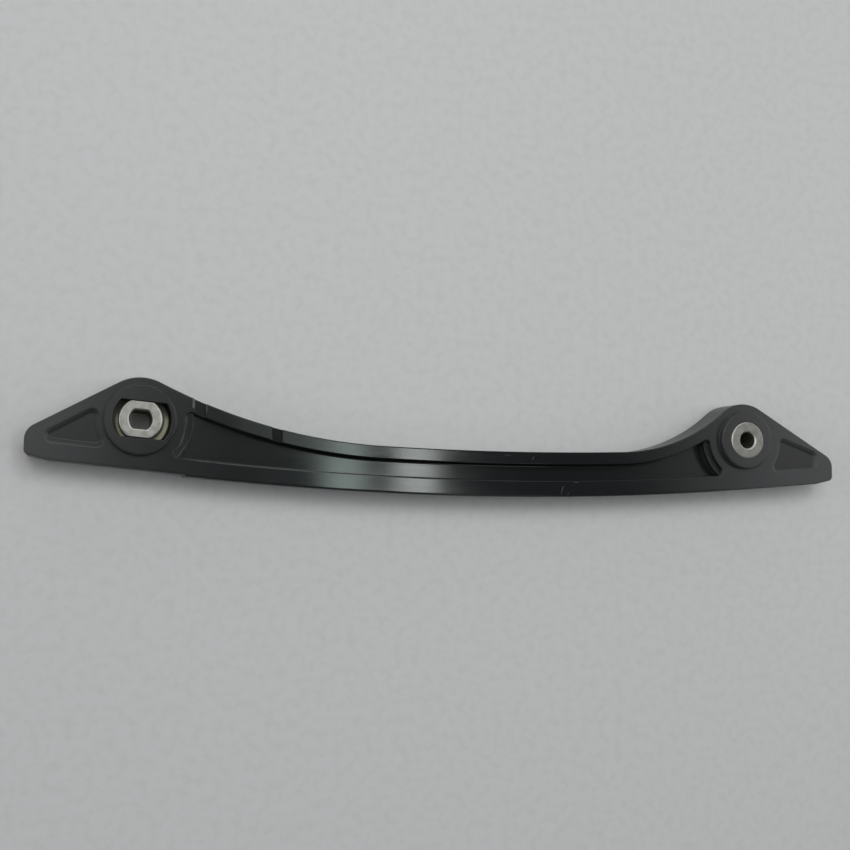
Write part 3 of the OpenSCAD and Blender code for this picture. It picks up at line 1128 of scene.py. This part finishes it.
@dataclass
class RoundBush:
    """The fixed bush: a plain turned sleeve, with its chamfers in millimetres."""

    node: str = "round_bush"
    name: str = "round_bush_steel"
    slot: str = "bush_steel"
    colour: Triple = (0.305, 0.296, 0.276)
    dull: Triple = (0.250, 0.240, 0.222)
    roughness: float = 0.50
    chamfer: float = 0.4
    hole_chamfer: float = 0.6
    edge_round: float = 0.25
    turn_steps: int = 96
    round_steps: int = 3
    crease_angle: float = 40.0

    def build(self) -> bpy.types.Object:
        """Turns the sleeve from its half section.

        Returns:
            The piece.
        """
        low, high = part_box(self.node)
        sizes = {
            "Hole radius": BOLT_HOLE_R,
            "Wall": (high.x - low.x) / 2 - BOLT_HOLE_R,
            "Length": high.z - low.z,
            "Chamfer": self.chamfer * MM,
            "Hole chamfer": self.hole_chamfer * MM,
            "Edge round": self.edge_round * MM,
        }
        finish = TurnedSteel(self.name, ROUND_BOLT, self.colour, self.dull, roughness=self.roughness)
        material = finish.material()
        piece = add_piece(self.name, bpy.data.meshes.new(self.name), material)
        self.turning(sizes, material).bake(piece)
        even_shading(piece, self.crease_angle)
        return piece

    def turning(self, sizes: dict[str, float], material: bpy.types.Material) -> Shape:
        """The tree that chamfers and rounds the half section and turns it about the bolt.

        Args:
            sizes: The tree's inputs.
            material: The sleeve's finish.

        Returns:
            The tree.
        """
        shape = Shape("turned_sleeve", sizes)
        wall = shape.size("Wall")
        drop = 0.0 - shape.size("Length")
        corners = {
            "Point 1": (0.0, 0.0, 0.0),
            "Point 2": shape.point(wall, 0.0, 0.0),
            "Point 3": shape.point(wall, drop, 0.0),
            "Point 4": shape.point(0.0, drop, 0.0),
        }
        section = shape.node("GeometryNodeCurvePrimitiveQuadrilateral", {"mode": "POINTS"}, corners)
        index = shape.node("GeometryNodeInputIndex", {}, {})
        outer = shape.past(index, 0)
        last = shape.past(index, len(corners) - 2)
        cut = outer * shape.size("Chamfer") + last * (shape.size("Hole chamfer") - shape.size("Chamfer"))
        chamfered = self.fillet(shape, section, cut, 1)
        rounded = self.fillet(shape, chamfered, shape.size("Edge round"), self.round_steps)
        circle = {"Resolution": self.turn_steps, "Radius": shape.size("Hole radius")}
        path = shape.node("GeometryNodeCurvePrimitiveCircle", {"mode": "RADIUS"}, circle)
        turned = shape.node("GeometryNodeCurveToMesh", {}, {"Curve": path, "Profile Curve": rounded})
        place = {"Geometry": turned, "Translation": tuple(ROUND_BOLT)}
        placed = shape.node("GeometryNodeTransform", {}, place)
        seam = {"Geometry": placed, "Distance": SAME_TURNED_POINT * MM}
        whole = shape.node("GeometryNodeMergeByDistance", {}, seam)
        shape.finish(whole, material)
        return shape

    def fillet(self, shape: Shape, curve: Value, radius: Value, steps: int) -> Value:
        """Cuts a curve's corners by a radius in a number of steps."""
        sockets = {"Curve": curve, "Radius": radius, "Limit Radius": True, "Count": steps}
        return shape.node("GeometryNodeFilletCurve", {"mode": "POLY"}, sockets)

    def dress(self, piece: bpy.types.Object) -> None:
        """Seats the bush on the rail's body in place of its node.

        Args:
            piece: The bush.
        """
        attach(piece, "rail")
        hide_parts(self.node)


@dataclass(frozen=True)
class AreaLamp:
    """A rectangular lamp that faces a point."""

    name: str
    place: Triple
    aim: Triple
    size: Pair
    radiance: float
    colour: Triple = (1.0, 1.0, 1.0)

    def build(self) -> bpy.types.Object:
        """Makes the lamp.

        Returns:
            The lamp, as bright per area as its radiance says.
        """
        data = bpy.data.lights.new(self.name, "AREA")
        data.shape = "RECTANGLE"
        data.size, data.size_y = self.size
        data.energy = self.radiance * math.pi * self.size[0] * self.size[1]
        data.color = self.colour
        lamp = bpy.data.objects.new(self.name, data)
        lamp.location = self.place
        lamp.rotation_euler = (Vector(self.aim) - Vector(self.place)).to_track_quat("-Z", "Y").to_euler()
        bpy.context.scene.collection.objects.link(lamp)
        return lamp


@dataclass(frozen=True)
class Studio:
    """The table, the light and the camera, which stands and aims in millimetres above the part's face."""

    stand: Triple = (-270.75, -29.15, 419.9)
    aim: Triple = (-142.35, 1.78, 0.0)
    upright: Triple = (-0.0338, 0.9973, 0.0625)
    focal_px: float = 1130.0
    sensor: float = 36.0
    table_size: float = 6.0
    table_drop: float = 0.05
    sky: Triple = (0.08, 0.08, 0.085)
    lamps: tuple[AreaLamp, ...] = (
        AreaLamp(
            "twin_tube_near", place=(0.174, 0.5, 1.52), aim=(0.174, 0.5, 0.0), size=(0.070, 1.6),
            radiance=5.6, colour=(0.82, 1.0, 0.93),
        ),
        AreaLamp(
            "twin_tube_far", place=(0.304, 0.5, 1.52), aim=(0.304, 0.5, 0.0), size=(0.070, 1.6),
            radiance=9.2, colour=(0.93, 1.0, 0.97),
        ),
        AreaLamp(
            "north_key", place=(-0.36, 0.82, 1.75), aim=(-0.12, 0.0, 0.0), size=(1.2, 0.7), radiance=2.8,
        ),
        AreaLamp(
            "west_panel", place=(-0.62, 0.35, 1.5), aim=(-0.30, 0.0, 0.0), size=(0.8, 1.0), radiance=0.75,
        ),
        AreaLamp(
            "east_panel", place=(1.50, 0.45, 1.35), aim=(0.0, 0.0, 0.0), size=(0.9, 1.4), radiance=1.0,
        ),
        AreaLamp(
            "north_wall", place=(-0.1, 2.4, 0.55), aim=(-0.1, 0.0, 0.0), size=(4.0, 0.9), radiance=0.6,
        ),
        AreaLamp(
            "west_wall", place=(-2.4, 0.2, 1.15), aim=(-0.1, 0.0, 0.0), size=(2.4, 1.2), radiance=1.3,
        ),
        AreaLamp(
            "east_wall", place=(2.4, 0.3, 0.7), aim=(-0.1, 0.0, 0.0), size=(2.4, 0.9), radiance=1.6,
        ),
        AreaLamp(
            "south_strip", place=(0.465, -1.13, 1.13), aim=(-0.11, 0.0, 0.0), size=(0.29, 0.12),
            radiance=2.4,
        ),
    )

    def build(self) -> None:
        """Makes the table, the lamps, the world and the camera."""
        self.build_table()
        for lamp in self.lamps:
            lamp.build()
        world = bpy.data.worlds.new("studio")
        world.use_nodes = True
        world.node_tree.nodes["Background"].inputs["Color"].default_value = (*self.sky, 1.0)
        bpy.context.scene.world = world
        bpy.context.scene.view_settings.view_transform = "Standard"
        self.build_camera()

    def build_table(self) -> None:
        """Makes the table top just under the part."""
        half = self.table_size / 2
        top = bpy.data.meshes.new("table_top")
        corners = [(-half, -half), (half, -half), (half, half), (-half, half)]
        top.from_pydata([(x, y, -self.table_drop * MM) for x, y in corners], [], [(0, 1, 2, 3)])
        add_piece("table_top", top, TableTop().material())

    def build_camera(self) -> None:
        """Makes the camera at the photograph's place and angle."""
        face = Vector((0.0, 0.0, RAIL_DEPTH))
        stand, aim = metres(self.stand) + face, metres(self.aim) + face
        back = (stand - aim).normalized()
        right = Vector(self.upright).cross(back).normalized()
        up = back.cross(right)
        data = bpy.data.cameras.new("camera")
        data.sensor_width = self.sensor
        data.lens = self.focal_px / IMAGE_PX * self.sensor
        camera = bpy.data.objects.new("camera", data)
        turn = Matrix((right, up, back)).transposed().to_4x4()
        camera.matrix_world = Matrix.Translation(stand) @ turn
        bpy.context.scene.collection.objects.link(camera)
        bpy.context.scene.camera = camera


def clear_defaults() -> None:
    """Removes the startup objects that aren't part of the frame."""
    kept = set(frame["nodes"].values()) | set(frame["bodies"].values())
    for item in list(bpy.data.objects):
        if item not in kept:
            bpy.data.objects.remove(item)


def main() -> None:
    """Builds and dresses every piece, then the studio."""
    logging.basicConfig(level=logging.INFO, format="%(name)s: %(message)s")
    clear_defaults()
    for maker in (GuideRail(), SlideBush(), RoundBush()):
        piece = maker.build()
        maker.dress(piece)
        log.info("%s: %d faces in place of %s", piece.name, len(piece.data.polygons), maker.node)
    Studio().build()


if __name__ == "__main__":
    main()
